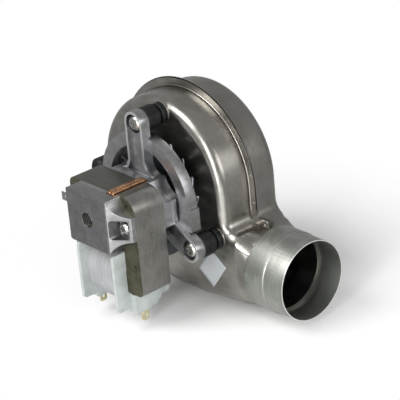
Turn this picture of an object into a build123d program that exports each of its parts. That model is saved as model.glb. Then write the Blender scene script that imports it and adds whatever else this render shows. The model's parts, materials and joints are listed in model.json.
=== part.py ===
"""Boiler exhaust fan: shaded-pole motor on rubber mounts, bladed impeller in a drawn steel scroll.

The shaft runs along Y with the motor toward -Y, the outlet looks along +X and Z is up.
The origin is the middle of the inlet, on the flat back of the scroll. Sizes are in millimetres.
"""

import os
from math import cos, radians, sin, tau

from build123d import *

# Scroll
sheet = 0.8
spiral_start = 58.6
spiral_growth = 30.0
shoulder_radius = 7.5
tongue_radius = 9.0
front_step = 1.0
rear_step = 0.8
neck_corner = 18.0
neck_run = 44.0
neck_blend = 9.5
neck_length = 26.0
seam_width = 6.3
seam_notch = 2.5
seam_tab = 9.5
seat_gap = 0.05

# Outlet collar
collar_sheet = 0.7
outlet_radius = 30.0
outlet_length = 19.0
collar_length = 38.3
collar_swell = 0.6
bead_width = 1.0
bead_height = 1.05

# Inlet and the fan's own fixing
inlet_radius = 29.0
inlet_curl = 4.0
inlet_length = 8.0
fixing_circle_diameter = 92.0
fixing_hole = 5.5
fixing_nut_bore = 4.4
fixing_nut_flats = 8.0
fixing_nut_height = 4.0

# Rubber mounts
mount_circle_diameter = 113.6
mount_angles = (90, 210, 330)
rubber_length = 18.1
rubber_radius = 9.2
rubber_clearance = 0.1
rubber_foot_radius = 8.0
rubber_neck_radius = 6.3
rubber_foot_height = 3.6
rubber_groove = 2.4
pad_radius = 8.6
pad_height = 0.6
pad_depth = 6.0
sleeve_radius = 3.4
mount_screw_radius = 2.5
mount_head_radius = 5.8
mount_head_height = 2.6
mount_nut_flats = 8.0
mount_nut_height = 3.6
grommet_radius = 7.0
grommet_lip = 1.6

# Rear bracket
arm_radius = 9.1
arm_depth = 7.8
arm_wall = 1.9
arm_rise = 4.5
arm_run_out = 10.5
arm_flare = 8.0
ring_inner = 37.8
ring_depth = 8.5
body_depth = 12.5
body_wall = 2.8
web = 3.0
lug_reach = 49.2
lug_top = 4.0
lug_bottom = -16.0
lug_notch = 3.2

# Laminated frame
stack_depth = 26.5
frame_half_width = 35.7
frame_half_height = 19.5
right_leg = 16.3
left_leg = 14.2
leg_bottom = -57.3
leg_corner = 5.0
shoulder_start = 21.0
shoulder_end = 8.4
far_corner = 5.2
notch_start = 9.2
notch_end = 17.8
notch_depth = 4.5
shade_slot_height = 2.8
shade_slot_level = 10.2
strap_width = 3.0
strap_gap = 0.6
strap_thickness = 2.4
strap_rise = 1.5
strap_clearance = 0.2
strap_room = 3.5
bolt_radius = 2.0
bolt_clearance = 0.3
bolt_head_height = 3.0
bolt_head_room = 1.2
recess_width = 1.0
recess_depth = 1.3
rotor_bore = 13.1
pin_hole = 1.5

# Coil
core_height = 16.5
core_fit = 0.15
bobbin_wall = 1.2
flange_sheet = 2.5
flange_top = -25.2
flange_bottom = -70.4
flange_overhang = 11.3
flange_corner = 3.0
coil_half_depth = 18.7
coil_half_height = 20.0
coil_corner = 14.0
tape = 0.6
pocket_reach = 5.2
pocket_width = 24.0
pocket_bottom = -74.2
pocket_top = -59.0
blade_width = 6.3
blade_sheet = 0.8
blade_tip = -82.5
blade_place = 3.4
blade_hole = 1.0

# Front bracket
block_half_width = 21.4
block_bottom = -20.8
block_depth = 15.0
block_wall = 3.0
block_corner = 5.0
plate_sheet = 2.8
ear_top = 7.0
ear_bottom = -11.6
ear_rim = 1.9
ear_step = 0.8
ear_inner_rim = 0.6
ear_outer_rim = 2.0
ear_hollow_corner = 2.2
shaft_window = 5.7
earth_width = 6.3
earth_foot = 7.0
earth_room = 3.0
earth_reach = 7.4
earth_level = 10.6

# Shaft, bearings and rotor
shaft_radius = 4.0
shaft_fit = 0.04
hub_seat_radius = 3.5
thread_radius = 3.0
bush_radius = 7.5
bush_chamfer = 0.6
bush_length = 8.0
boss_wall = 3.0
felt_thickness = 1.6
retainer_sheet = 0.5
retainer_radius = 9.6
retainer_set_back = 1.0
washer_radius = 6.5
washer_sheet = 0.6
air_gap = 0.4
end_ring = 2.4
bar_radius = 1.1
bar_count = 12

# Cooling wheel
wheel_inset = 4.3
wheel_disc = 29.0
wheel_sheet = 0.8
wheel_blades = 18
wheel_tilt = 26.0
wheel_gap = 3.2
wheel_hub = 8.0
wheel_hub_length = 7.0

# Impeller
impeller_radius = 52.0
impeller_eye = 31.5
impeller_inner = 41.5
impeller_blade_count = 28
impeller_sheet = 0.8
impeller_front_gap = 5.5
impeller_ring_gap = 0.9
impeller_hub_radius = 9.0
impeller_flange_radius = 15.0
impeller_hub_length = 11.0
impeller_nut_flats = 10.0
impeller_nut_height = 5.0
shaft_hole = 9.5

# Pressure tapping
tap_across = -58.5
tap_level = 2.6
tap_radius = 3.0
tap_bore = 1.6
tap_length = 11.0
cap_radius = 8.0
cap_wall = 2.0
cap_length = 17.6

# Sizes that follow from the ones above
neck_radius = outlet_radius + collar_swell - collar_sheet - bead_height - seat_gap
front_depth = neck_radius - front_step
rear_depth = neck_radius - rear_step
ring_outer = mount_circle_diameter / 2 - rubber_radius - rubber_clearance
wheel_radius = ring_outer - wheel_inset
arm_floor = arm_depth - arm_rise
shade_slot_width = 2 * (strap_width + strap_clearance) + strap_gap
ear_width = frame_half_width - block_half_width
ear_hollow = ear_width - ear_inner_rim - ear_outer_rim
bolt_across = block_half_width + ear_inner_rim + ear_hollow / 2
bolt_level = (ear_top + ear_bottom) / 2
bolt_head_radius = ear_hollow / 2 - bolt_head_room

# Depths worked out from the sizes above, zero at the scroll's flat back
seam_y = -rear_depth
face_y = seam_y - front_depth
pad_y = face_y - pad_height
arm_back_y = pad_y - rubber_length
arm_floor_y = arm_back_y - arm_floor
arm_front_y = arm_back_y - arm_depth
ring_front_y = arm_front_y + arm_rise
ring_back_y = ring_front_y + ring_depth
stack_back_y = ring_front_y - body_depth
stack_front_y = stack_back_y - stack_depth
block_front_y = stack_front_y - block_depth
tab_y = block_front_y + 2 * blade_sheet
plate_front_y = stack_front_y - plate_sheet
stack_middle_y = (stack_front_y + stack_back_y) / 2

# Places across the shaft
spiral_step = spiral_growth / 4
scroll_bottom = -(spiral_start + 3 * spiral_step)
outlet_z = scroll_bottom + neck_radius
tongue_x = spiral_start + tongue_radius
tongue_z = outlet_z + neck_radius + tongue_radius
neck_start_x = tongue_x + 1.0
run_start_x = neck_start_x - neck_run
neck_round_x = neck_start_x + neck_blend
neck_end_x = tongue_x + neck_length
seam_end_x = tongue_x + seam_tab
collar_start_x = neck_round_x + 0.3
outlet_x = collar_start_x + collar_length
step_x = outlet_x - outlet_length
core_bottom = leg_bottom + 0.3
core_top = core_bottom + core_height
coil_z = (core_bottom + core_top) / 2
window_right = frame_half_width - right_leg
window_left = left_leg - frame_half_width
flange_half_depth = stack_depth / 2 + flange_overhang
rotor_radius = rotor_bore - air_gap
mount_radius = mount_circle_diameter / 2
mount_places = [
    (mount_radius * cos(radians(angle)), mount_radius * sin(radians(angle))) for angle in mount_angles
]
bolt_places = [(bolt_across, bolt_level), (-bolt_across, bolt_level)]

# Axial run of the rotor train
front_bush_start = block_front_y + block_wall - 0.6
front_bush_end = front_bush_start + bush_length
rotor_front_y = stack_front_y - end_ring
rotor_back_y = stack_back_y + end_ring
rear_bush_end = ring_front_y + web - 0.6
rear_bush_start = rear_bush_end - bush_length
shaft_front_y = block_front_y + 1.3
wheel_y = ring_back_y + wheel_gap
impeller_plate_y = face_y + sheet + impeller_front_gap
impeller_ring_y = -(inlet_length + impeller_ring_gap + impeller_sheet)
hub_end_y = impeller_plate_y + impeller_hub_length
shaft_end_y = hub_end_y + impeller_nut_height + 2.0

os.makedirs("parts", exist_ok=True)


def across(y):
    """Plane square to the shaft at a depth, with +X to the right and +Z up."""
    return Plane.XZ.offset(-y)


def turn(points, place=(0, 0)):
    """Turns an outline of (radius, depth) points about a line along the shaft's direction."""
    x, z = place
    with BuildSketch(Plane((x, 0, z), x_dir=(1, 0, 0), z_dir=(0, 0, 1))) as profile:
        with BuildLine():
            Polyline(*points, close=True)
        make_face()
    revolve(profile.sketch, axis=Axis((x, 0, z), (0, 1, 0)))


def tube(outer, inner, start, stop, place=(0, 0)):
    """A plain ring about a line along the shaft's direction."""
    turn([(inner, start), (outer, start), (outer, stop), (inner, stop)], place)


def rod(radius, start, stop, place=(0, 0), mode=Mode.ADD):
    """A round bar along the shaft's direction."""
    with BuildSketch(across(start)) as section:
        with Locations(place):
            Circle(radius)
    extrude(section.sketch, amount=start - stop, mode=mode)


def scroll_outline(inset, end, cut=None):
    """Four quarter arcs of a spiral, the tongue's hollow and the straight run to the neck.

    With a cut, the lower half of the straight run stops there and leaves its place to the neck's taper.
    """
    offset = spiral_step / 2
    top = outlet_z + neck_radius - inset
    bottom = scroll_bottom + inset
    first = spiral_start + offset - inset
    with BuildLine() as outline:
        if cut is None:
            Polyline((offset, bottom), (end, bottom), (end, top), (tongue_x, top))
        else:
            Polyline((offset, bottom), (cut, bottom), (cut, outlet_z), (end, outlet_z))
            Polyline((end, outlet_z), (end, top), (tongue_x, top))
        CenterArc((tongue_x, tongue_z), tongue_radius + inset, 270, -90)
        Line((spiral_start - inset, tongue_z), (spiral_start - inset, offset))
        CenterArc((-offset, offset), first, 0, 90)
        CenterArc((-offset, -offset), first + spiral_step, 90, 90)
        CenterArc((offset, -offset), first + 2 * spiral_step, 180, 90)
    make_face(outline.edges())


def neck_point(way, radius, angle):
    """A point of the half-round neck, on the side of the seam that way gives."""
    return (seam_y + way * radius * cos(radians(angle)), outlet_z + radius * sin(radians(angle)))


def run_section(way, x, outer_y, inset, corner):
    """Lower half of the straight run's section: flat front, one rounded corner and the bottom."""
    bottom = scroll_bottom + inset
    with BuildSketch(Plane.YZ.offset(x)) as section:
        with BuildLine():
            Line((seam_y, outlet_z), (seam_y, bottom))
            Line((seam_y, bottom), (outer_y - way * corner, bottom))
            TangentArc((outer_y - way * corner, bottom), (outer_y, bottom + corner), tangent=(way, 0))
            Line((outer_y, bottom + corner), (outer_y, outlet_z))
            Line((outer_y, outlet_z), (seam_y, outlet_z))
        make_face()
    return section.sketch


def scroll_half(way, depth, inset, overrun):
    """One closed half of the scroll and its neck, from the seam out, set in by a wall."""
    outer_y = seam_y + way * (depth - inset)
    radius = shoulder_radius - inset
    low_radius = neck_corner - inset
    top = outlet_z + neck_radius - inset
    bottom = scroll_bottom + inset
    bore = neck_radius - inset
    with BuildPart() as half:
        with BuildSketch(across(seam_y)):
            scroll_outline(inset, neck_start_x, run_start_x)
        extrude(amount=seam_y - outer_y)
        outer_face = half.faces().sort_by(Axis.Y)[-1 if way > 0 else 0]
        shoulder = outer_face.edges().filter_by(lambda edge: edge.center().X < neck_start_x - 0.01)
        shoulder = shoulder.filter_by(lambda edge: abs(edge.center().X - run_start_x) > 0.01)
        shoulder = shoulder.filter_by(lambda edge: abs(edge.center().Z - outlet_z) > 0.01)
        fillet(shoulder, radius)
        taper_start = run_section(way, run_start_x, outer_y, inset, radius)
        taper_end = run_section(way, neck_start_x, outer_y, inset, low_radius)
        loft([taper_start, taper_end], ruled=True)
        with BuildSketch(Plane.YZ.offset(neck_start_x)) as square_end:
            with BuildLine():
                Line((seam_y, bottom), (outer_y - way * low_radius, bottom))
                TangentArc(
                    (outer_y - way * low_radius, bottom), (outer_y, bottom + low_radius), tangent=(way, 0)
                )
                Line((outer_y, bottom + low_radius), (outer_y, top - radius))
                TangentArc((outer_y, top - radius), (outer_y - way * radius, top), tangent=(0, 1))
                Line((outer_y - way * radius, top), (seam_y, top))
                Line((seam_y, top), (seam_y, bottom))
            make_face()
        with BuildSketch(Plane.YZ.offset(neck_round_x)) as round_end:
            marks = (-90, -74, -20, 38, 60, 90)
            with BuildLine():
                for start, stop in zip(marks, marks[1:]):
                    ThreePointArc(
                        neck_point(way, bore, start),
                        neck_point(way, bore, (start + stop) / 2),
                        neck_point(way, bore, stop),
                    )
                Line(neck_point(way, bore, 90), neck_point(way, bore, -90))
            make_face()
        loft([square_end.sketch, round_end.sketch], ruled=True)
        with BuildSketch(Plane.YZ.offset(neck_round_x)) as neck_end:
            with BuildLine():
                ThreePointArc(*[neck_point(way, bore, angle) for angle in (-90, 0, 90)])
                Line(neck_point(way, bore, 90), neck_point(way, bore, -90))
            make_face()
        extrude(neck_end.sketch, amount=neck_end_x - neck_round_x + overrun)
    return half.part


def seam_band(start, stop, outset, inner):
    """A flat band round the scroll's seam, with the relief cut at the tongue."""
    with BuildSketch(across(start)) as band:
        scroll_outline(-outset, seam_end_x)
        with BuildSketch(Plane.XY, mode=Mode.PRIVATE) as hollow:
            scroll_outline(-inner, seam_end_x + 1)
        add(hollow.sketch, mode=Mode.SUBTRACT)
        with Locations((tongue_x, tongue_z)):
            Rectangle(2 * tongue_radius, seam_notch, rotation=45, mode=Mode.SUBTRACT)
    extrude(band.sketch, amount=start - stop)


def neck_bead(way):
    """Half of the bead that stiffens the neck's end and centres it in the collar."""
    crest = neck_radius + bead_height
    with BuildSketch(Plane.YZ.offset(neck_end_x - bead_width)) as half_ring:
        with BuildLine():
            ThreePointArc(*[neck_point(way, crest, angle) for angle in (-90, 0, 90)])
            Line(neck_point(way, crest, 90), neck_point(way, neck_radius - sheet, 90))
            ThreePointArc(*[neck_point(way, neck_radius - sheet, angle) for angle in (90, 0, -90)])
            Line(neck_point(way, neck_radius - sheet, -90), neck_point(way, crest, -90))
        make_face()
    extrude(half_ring.sketch, amount=bead_width)


# Front shell: deep drawn half with the mounting pads, shaft hole and inner layer of the seam
front_outer = scroll_half(-1, front_depth, 0, 0)
front_inner = scroll_half(-1, front_depth, sheet, 1)

with BuildPart() as front_shell:
    add(front_outer)
    with BuildSketch(across(pad_y)):
        with Locations(*mount_places):
            Circle(pad_radius)
    extrude(amount=-pad_depth)
    add(front_inner, mode=Mode.SUBTRACT)
    with BuildSketch(across(pad_y + sheet)):
        with Locations(*mount_places):
            Circle(pad_radius - sheet)
    extrude(amount=sheet - pad_depth, mode=Mode.SUBTRACT)
    with BuildSketch(across(pad_y)):
        with Locations(*mount_places):
            Circle(mount_screw_radius + 0.2)
        Circle(shaft_hole)
        with Locations((tap_across, tap_level)):
            Circle(tap_bore)
    extrude(amount=-pad_depth, mode=Mode.SUBTRACT)
    seam_band(seam_y, seam_y - sheet, seam_width - sheet - 0.1, -sheet / 2)
    neck_bead(-1)
front_shell.part.label = "front_shell"

# Rear shell: the other half, with the rolled inlet and the hemmed rim that grips the front flange
rear_outer = scroll_half(1, rear_depth, 0, 0)
rear_inner = scroll_half(1, rear_depth, sheet, 1)

with BuildPart() as rear_shell:
    add(rear_outer)
    add(rear_inner, mode=Mode.SUBTRACT)
    with BuildSketch(across(0)):
        Circle(inlet_radius + inlet_curl)
        with PolarLocations(fixing_circle_diameter / 2, 4, start_angle=45):
            Circle(fixing_hole / 2)
    extrude(amount=2 * sheet, mode=Mode.SUBTRACT)
    with BuildSketch(Plane.XY):
        with BuildLine():
            curl_centre = (inlet_radius + inlet_curl, -inlet_curl)
            CenterArc(curl_centre, inlet_curl, 90, 90)
            Line((inlet_radius, -inlet_curl), (inlet_radius, -inlet_length))
            Line((inlet_radius, -inlet_length), (inlet_radius + sheet, -inlet_length))
            Line((inlet_radius + sheet, -inlet_length), (inlet_radius + sheet, -inlet_curl))
            CenterArc(curl_centre, inlet_curl - sheet, 180, -90)
            Line((inlet_radius + inlet_curl, -sheet), (inlet_radius + inlet_curl, 0))
        make_face()
    revolve(axis=Axis.Y)
    seam_band(seam_y + sheet, seam_y, seam_width, -sheet / 2)
    seam_band(seam_y + sheet, seam_y - 2 * sheet, seam_width, seam_width - sheet)
    seam_band(seam_y - sheet, seam_y - 2 * sheet, seam_width, seam_width / 4)
    neck_bead(1)
rear_shell.part.label = "rear_shell"

# Outlet collar: separate tube over the neck, curled in at its inner end, stepped for the flue
with BuildPart() as outlet_collar:
    swell = outlet_radius + collar_swell
    with BuildSketch(Plane((0, seam_y, outlet_z), x_dir=(1, 0, 0), z_dir=(0, -1, 0))):
        with BuildLine():
            Line((collar_start_x, neck_radius + seat_gap), (collar_start_x, neck_radius + seat_gap + 0.4))
            ThreePointArc(
                (collar_start_x, neck_radius + seat_gap + 0.4),
                (collar_start_x + 0.6, swell - 0.5),
                (collar_start_x + 2.0, swell),
            )
            Line((collar_start_x + 2.0, swell), (step_x - 0.5, swell))
            Line((step_x - 0.5, swell), (step_x + 0.3, outlet_radius))
            Line((step_x + 0.3, outlet_radius), (outlet_x, outlet_radius))
            Line((outlet_x, outlet_radius), (outlet_x, outlet_radius - collar_sheet))
            Line((outlet_x, outlet_radius - collar_sheet), (step_x, outlet_radius - collar_sheet))
            Line((step_x, outlet_radius - collar_sheet), (step_x - 0.8, swell - collar_sheet))
            Line((step_x - 0.8, swell - collar_sheet), (collar_start_x + 2.0, swell - collar_sheet))
            Line((collar_start_x + 2.0, swell - collar_sheet), (collar_start_x + 1.2, neck_radius + seat_gap))
            Line((collar_start_x + 1.2, neck_radius + seat_gap), (collar_start_x, neck_radius + seat_gap))
        make_face()
    revolve(axis=Axis((0, seam_y, outlet_z), (1, 0, 0)))
outlet_collar.part.label = "outlet_collar"

# Weld nuts inside the back for the screws that hold the fan
with BuildPart() as rear_nuts:
    with BuildSketch(across(-sheet)):
        with PolarLocations(fixing_circle_diameter / 2, 4, start_angle=45):
            RegularPolygon(fixing_nut_flats / 2, 6, major_radius=False)
            Circle(fixing_nut_bore / 2, mode=Mode.SUBTRACT)
    extrude(amount=fixing_nut_height)
rear_nuts.part.label = "rear_nuts"

# Weld nuts under the mounting pads
with BuildPart() as mount_nuts:
    with BuildSketch(across(pad_y + sheet)):
        with Locations(*mount_places):
            RegularPolygon(mount_nut_flats / 2, 6, major_radius=False)
            Circle(mount_screw_radius, mode=Mode.SUBTRACT)
    extrude(amount=-mount_nut_height)
mount_nuts.part.label = "mount_nuts"

# Pan-head screws through the mounts
with BuildPart() as mount_screws:
    head_y = arm_floor_y - grommet_lip
    screw_end_y = pad_y + sheet + mount_nut_height
    for place in mount_places:
        turn(
            [
                (0, head_y - mount_head_height),
                (mount_head_radius * 0.72, head_y - mount_head_height),
                (mount_head_radius, head_y - mount_head_height * 0.45),
                (mount_head_radius, head_y),
                (mount_screw_radius, head_y),
                (mount_screw_radius, screw_end_y - 0.5),
                (mount_screw_radius - 0.5, screw_end_y),
                (0, screw_end_y),
            ],
            place,
        )
    with BuildSketch(across(head_y - mount_head_height)):
        for place in mount_places:
            with Locations(place):
                Rectangle(mount_head_radius, recess_width)
                Rectangle(recess_width, mount_head_radius)
    extrude(amount=-recess_depth, mode=Mode.SUBTRACT)
mount_screws.part.label = "mount_screws"

# Spacer sleeves that stop the screws from crushing the rubber
with BuildPart() as mount_sleeves:
    for place in mount_places:
        tube(sleeve_radius, mount_screw_radius + 0.05, head_y, pad_y, place)
mount_sleeves.part.label = "mount_sleeves"

# Rubber rings round the heads, seated through the arms' floors
with BuildPart() as mount_grommets:
    for place in mount_places:
        turn(
            [
                (sleeve_radius, head_y),
                (grommet_radius - 0.5, head_y),
                (grommet_radius, head_y + 0.5),
                (grommet_radius, arm_floor_y),
                (rubber_neck_radius, arm_floor_y),
                (rubber_neck_radius, arm_back_y),
                (sleeve_radius, arm_back_y),
            ],
            place,
        )
mount_grommets.part.label = "mount_grommets"

# Rubber buffers between the arms and the pads, waisted above the foot
with BuildPart() as rubber_mounts:
    foot_y = pad_y - rubber_foot_height
    waist_y = foot_y - rubber_groove
    for place in mount_places:
        turn(
            [
                (sleeve_radius, pad_y),
                (rubber_foot_radius - 0.6, pad_y),
                (rubber_foot_radius, pad_y - 0.6),
                (rubber_foot_radius, foot_y + 0.4),
                (rubber_foot_radius - 0.4, foot_y),
                (rubber_neck_radius, foot_y),
                (rubber_neck_radius, waist_y),
                (rubber_radius - 1.2, waist_y),
                (rubber_radius, waist_y - 1.2),
                (rubber_radius, arm_back_y + 0.8),
                (rubber_radius - 0.8, arm_back_y),
                (sleeve_radius, arm_back_y),
            ],
            place,
        )
rubber_mounts.part.label = "rubber_mounts"


def frame_outline(extra=0.0):
    """Head of the laminated frame: rounded far corner, long shoulder over the right leg."""
    side = frame_half_width + extra
    top = frame_half_height
    with BuildLine() as outline:
        Line((-side, -top), (-side, top - far_corner))
        TangentArc((-side, top - far_corner), (-side + far_corner, top), tangent=(0, 1))
        Line((-side + far_corner, top), (shoulder_start, top))
        ThreePointArc(
            (shoulder_start, top),
            (shoulder_start + 0.74 * (side - shoulder_start), top - 0.33 * (top - shoulder_end)),
            (side, shoulder_end),
        )
        Line((side, shoulder_end), (side, -top))
        Line((side, -top), (-side, -top))
    make_face(outline.edges())


# Laminated frame: head with the rotor's bore and shading notches, and two legs
with BuildPart() as stator_frame:
    with BuildSketch(across(stack_back_y)) as frame_sheet:
        frame_outline()
        with Locations(((window_right + frame_half_width) / 2, leg_bottom / 2)):
            Rectangle(right_leg, -leg_bottom)
        with Locations(((window_left - frame_half_width) / 2, leg_bottom / 2)):
            Rectangle(left_leg, -leg_bottom)
        Circle(rotor_bore, mode=Mode.SUBTRACT)
        for side in (1, -1):
            notch_middle = side * (notch_start + notch_end) / 2
            with Locations((notch_middle, side * (frame_half_height - notch_depth / 2))):
                Rectangle(notch_end - notch_start, notch_depth, mode=Mode.SUBTRACT)
            with Locations((notch_middle, side * (shade_slot_level + shade_slot_height / 2))):
                Rectangle(shade_slot_width, shade_slot_height, mode=Mode.SUBTRACT)
        with Locations(*bolt_places):
            Circle(bolt_radius + bolt_clearance, mode=Mode.SUBTRACT)
        leg_x = frame_half_width - right_leg / 3
        with Locations((leg_x, leg_bottom * 0.6)):
            Circle(pin_hole, mode=Mode.SUBTRACT)
        foot = frame_sheet.vertices().group_by(Axis.Y)[0].sort_by(Axis.X)
        fillet([foot[0], foot[-1]], leg_corner)
    extrude(amount=stack_depth)
stator_frame.part.label = "stator_frame"

# Laminated bar pressed between the legs, under the coil
with BuildPart() as coil_core:
    with BuildSketch(across(stack_back_y)):
        with Locations(((window_left + window_right) / 2, coil_z)):
            Rectangle(window_right - window_left, core_height)
    extrude(amount=stack_depth)
coil_core.part.label = "coil_core"

# Copper shading rings: two flat loops side by side round the tip of each pole
with BuildPart() as shading_rings:
    loop_top = frame_half_height + strap_rise
    loop_bottom = shade_slot_level + (shade_slot_height - strap_thickness) / 2
    loop_reach = stack_depth / 2 + strap_clearance + strap_thickness
    loop_middle = (notch_start + notch_end) / 2
    loop_step = (strap_width + strap_gap) / 2
    for side in (1, -1):
        level = side * (loop_top + loop_bottom) / 2
        height = loop_top - loop_bottom
        for shift in (-loop_step, loop_step):
            with BuildSketch(Plane.YZ.offset(side * loop_middle + shift)):
                with Locations((stack_middle_y, level)):
                    RectangleRounded(2 * loop_reach, height, strap_thickness)
                    Rectangle(
                        2 * (loop_reach - strap_thickness), height - 2 * strap_thickness, mode=Mode.SUBTRACT
                    )
            extrude(amount=strap_width / 2, both=True)
shading_rings.part.label = "shading_rings"

# Bobbin: square tube, two flanges and a terminal pocket on the outside of each
with BuildPart() as bobbin:
    bobbin_x = (window_left + window_right) / 2
    bobbin_length = window_right - window_left
    tube_depth = stack_depth + 2 * core_fit + 2 * bobbin_wall
    tube_height = core_height + 2 * core_fit + 2 * bobbin_wall
    flange_z = (flange_top + flange_bottom) / 2
    with BuildSketch(Plane.YZ.offset(window_left)):
        with Locations((stack_middle_y, coil_z)):
            RectangleRounded(tube_depth, tube_height, bobbin_wall)
    extrude(amount=bobbin_length)
    with BuildSketch(Plane.YZ.offset(window_left)) as flange_pair:
        with Locations((stack_middle_y, flange_z)):
            RectangleRounded(2 * flange_half_depth, flange_top - flange_bottom, flange_corner)
    extrude(amount=flange_sheet)
    with BuildSketch(Plane.YZ.offset(window_right)):
        with Locations((stack_middle_y, flange_z)):
            RectangleRounded(2 * flange_half_depth, flange_top - flange_bottom, flange_corner)
    extrude(amount=-flange_sheet)
    for start, reach in ((window_right - flange_sheet, 1), (window_left + flange_sheet, -1)):
        with BuildSketch(Plane.YZ.offset(start)):
            with BuildLine():
                front = stack_middle_y - pocket_width / 2
                back = stack_middle_y + pocket_width / 2
                Polyline(
                    (front, pocket_top),
                    (back, pocket_top),
                    (back, pocket_bottom + 4.5),
                    (back - 2.0, pocket_bottom + 4.5),
                    (back - 4.0, pocket_bottom + 1.5),
                    (back - 9.0, pocket_bottom + 1.5),
                    (back - 9.0, pocket_bottom),
                    (front, pocket_bottom),
                    close=True,
                )
            make_face()
        extrude(amount=reach * (flange_sheet + pocket_reach))
    with BuildSketch(Plane.YZ.offset(window_left - pocket_reach)):
        with Locations((stack_middle_y, coil_z)):
            Rectangle(stack_depth + 2 * core_fit, core_height + 2 * core_fit)
    extrude(amount=bobbin_length + 2 * pocket_reach, mode=Mode.SUBTRACT)
    for place in (window_right + blade_place, window_left - blade_place):
        with BuildSketch(Plane.XY.offset(pocket_bottom)):
            with Locations((place, stack_middle_y - blade_width / 2)):
                Rectangle(blade_sheet, blade_width)
        extrude(amount=pocket_top - pocket_bottom - 3.0, mode=Mode.SUBTRACT)
bobbin.part.label = "bobbin"


def coil_section(half_depth, half_height, corner):
    """Rounded section of the coil, square to its axis."""
    with Locations((stack_middle_y, coil_z)):
        RectangleRounded(2 * half_depth, 2 * half_height, corner)


# Copper winding and the tape round it
with BuildPart() as winding:
    with BuildSketch(Plane.YZ.offset(window_left + flange_sheet)):
        coil_section(coil_half_depth - tape, coil_half_height - tape, coil_corner - tape)
        with Locations((stack_middle_y, coil_z)):
            RectangleRounded(tube_depth, tube_height, bobbin_wall, mode=Mode.SUBTRACT)
    extrude(amount=bobbin_length - 2 * flange_sheet)
winding.part.label = "winding"

with BuildPart() as coil_tape:
    with BuildSketch(Plane.YZ.offset(window_left + flange_sheet)):
        coil_section(coil_half_depth, coil_half_height, coil_corner)
        with BuildSketch(mode=Mode.PRIVATE) as hollow:
            coil_section(coil_half_depth - tape, coil_half_height - tape, coil_corner - tape)
        add(hollow.sketch, mode=Mode.SUBTRACT)
    extrude(amount=bobbin_length - 2 * flange_sheet)
coil_tape.part.label = "coil_tape"

# Blade terminals pushed up into the bobbin's pockets
with BuildPart() as terminals:
    blade_y = stack_middle_y - blade_width / 2
    blade_end = pocket_top - 3.0
    for place in (window_right + blade_place, window_left - blade_place):
        with BuildSketch(Plane.YZ.offset(place)):
            with BuildLine():
                Polyline(
                    (blade_y - blade_width / 2, blade_end),
                    (blade_y + blade_width / 2, blade_end),
                    (blade_y + blade_width / 2, blade_tip + 1.2),
                    (blade_y + blade_width / 2 - 1.2, blade_tip),
                    (blade_y - blade_width / 2 + 1.2, blade_tip),
                    (blade_y - blade_width / 2, blade_tip + 1.2),
                    close=True,
                )
            make_face()
            with Locations((blade_y, blade_tip + 3.6)):
                Circle(blade_hole, mode=Mode.SUBTRACT)
        extrude(amount=blade_sheet / 2, both=True)
terminals.part.label = "terminals"


def strap_relief(start, stop):
    """Room for the ends of the shading rings in a bracket that lies on the frame."""
    low = shade_slot_level - strap_clearance
    high = frame_half_height + strap_rise + strap_clearance
    with BuildSketch(across(start)) as relief:
        for side in (1, -1):
            with Locations((side * (notch_start + notch_end) / 2, side * (low + high) / 2)):
                Rectangle(notch_end - notch_start, high - low)
    extrude(relief.sketch, amount=start - stop, mode=Mode.SUBTRACT)


def bracket_outline():
    """Footprint both brackets share: a block between two ears, hollowed above and below each ear."""
    with BuildLine() as outline:
        for side in (1, -1):
            inner = side * block_half_width
            outer = side * frame_half_width
            waist = side * (block_half_width + 0.31 * ear_width)
            ThreePointArc(
                (inner, frame_half_height),
                (waist, ear_top + 0.38 * (frame_half_height - ear_top)),
                (outer, ear_top),
            )
            Line((outer, ear_top), (outer, ear_bottom))
            ThreePointArc(
                (outer, ear_bottom),
                (waist, ear_bottom + 0.38 * (block_bottom - ear_bottom)),
                (inner, block_bottom),
            )
        Line((-block_half_width, frame_half_height), (block_half_width, frame_half_height))
        Line((-block_half_width, block_bottom), (block_half_width, block_bottom))
    make_face(outline.edges())


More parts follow.
